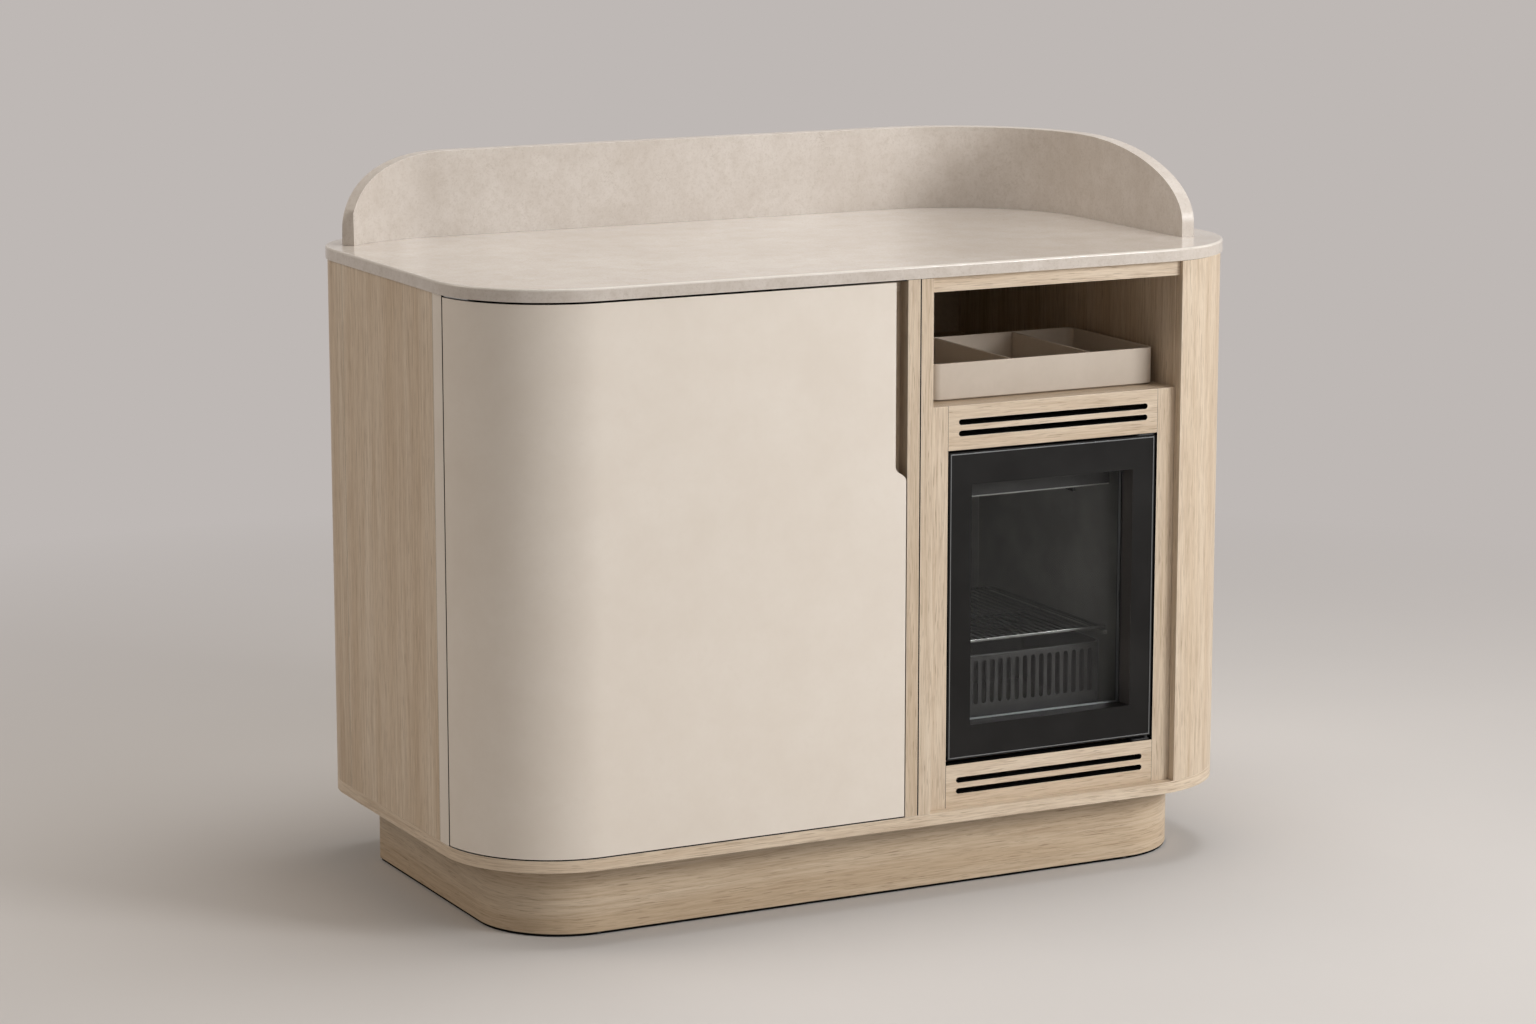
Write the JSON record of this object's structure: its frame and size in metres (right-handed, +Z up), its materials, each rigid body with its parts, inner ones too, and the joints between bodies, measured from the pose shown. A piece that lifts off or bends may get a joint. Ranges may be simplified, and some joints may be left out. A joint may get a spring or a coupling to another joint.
{
  "type": "hotel minibar cabinet",
  "caption": "Rounded hotel minibar cabinet: stone top with swept upstand, curved cupboard door, open niche with sliding tray, glass-door fridge and recessed plinth.",
  "frame": {"origin": "on the floor, under the middle of the worktop", "axes": "+X to the right seen from the front, +Y to the back, +Z up"},
  "size_m": [1.219, 0.666, 1.028],
  "materials": {
    "stone": "polished, finely mottled warm grey-beige composite stone",
    "oak": "pale straight-grained oak veneer, matt lacquer",
    "door_lacquer": "satin warm beige lacquer on bent board",
    "back_board": "plain board, matt",
    "tray_lacquer": "satin taupe lacquer",
    "hinge_steel": "brushed",
    "black_plastic": "fine moulded texture",
    "fridge_casing": "black powder coat",
    "insulation": "rigid foam",
    "fridge_liner": "fine moulded texture, dark grey",
    "shelf_wire": "satin coated wire",
    "basket_plastic": "satin dark moulding",
    "lamp_plastic": "satin moulding",
    "bare_aluminium": "mill finish",
    "door_frame": "satin black",
    "door_trim": "dark anodised",
    "tinted_glass": "polished, grey tint",
    "gasket_rubber": "matt"
  },
  "bodies": {
    "cabinet": {"worktop": "stone", "upstand": "stone", "pivot_bracket_lower": "hinge_steel", "pivot_bracket_upper": "hinge_steel", "plinth": "oak", "glide_front_left": "black_plastic", "glide_front_right": "black_plastic", "glide_rear_left": "black_plastic", "glide_rear_right": "black_plastic", "base_board": "oak", "left_front_stile": "door_lacquer", "left_side_panel": "oak", "left_rear_corner": "oak", "right_front_corner": "oak", "right_side_panel": "oak", "right_rear_corner": "oak", "divider_left": "oak", "divider_right": "oak", "right_partition": "oak", "niche_top_rail": "oak", "niche_ceiling": "oak", "niche_shelf": "oak", "fridge_stile_left": "oak", "fridge_stile_right": "oak", "upper_vent_rail": "oak", "lower_vent_rail": "oak", "back_panel": "back_board", "cable_grommet": "black_plastic", "cupboard_top": "oak", "door_stop_batten": "oak", "cupboard_shelf": "oak", "shelf_cleat_left": "oak", "shelf_cleat_right": "oak", "magnetic_catch": "black_plastic", "fridge_platform": "back_board", "fridge_casing": "fridge_casing", "fridge_insulation": "insulation", "fridge_liner": "fridge_liner", "wire_shelf": "shelf_wire", "bottle_basket": "basket_plastic", "lamp_housing": "lamp_plastic", "evaporator_plate": "bare_aluminium", "absorber_tank": "fridge_casing", "condenser_coil": "fridge_casing", "fridge_hinge_lower": "hinge_steel", "fridge_hinge_upper": "hinge_steel"},
    "cupboard_door": {"cupboard_door": "door_lacquer", "door_leaf_lower": "hinge_steel", "door_leaf_upper": "hinge_steel", "catch_strike": "hinge_steel"},
    "fridge_door": {"fridge_door_frame": "door_frame", "fridge_door_trim": "door_trim", "glass_outer": "tinted_glass", "glass_inner": "tinted_glass", "glass_spacer": "bare_aluminium", "door_gasket": "gasket_rubber"},
    "tray": {"tray": "tray_lacquer", "tray_divider_left": "tray_lacquer", "tray_divider_right": "tray_lacquer"},
    "thermostat_knob": {"thermostat_knob": "black_plastic"}
  },
  "joints": [
    {"name": "cupboard_door_hinge", "type": "hinge", "parent": "cabinet", "child": "cupboard_door", "pos_m": [-0.59962, -0.188, 0.505], "axis": [0, 0, -1], "range_deg": [0, 100]},
    {"name": "fridge_door_hinge", "type": "hinge", "parent": "cabinet", "child": "fridge_door", "pos_m": [0.43293, -0.307, 0.41275], "axis": [0, 0, 1], "range_deg": [0, 105]},
    {"name": "tray_slide", "type": "slide", "parent": "cabinet", "child": "tray", "axis": [0, -1, 0], "range_m": [-0.3, 0.14]},
    {"name": "thermostat_turn", "type": "hinge", "parent": "cabinet", "child": "thermostat_knob", "pos_m": [0.36383, -0.203, 0.555], "axis": [0, 0, 1], "range_deg": [0, 270]}
  ]
}
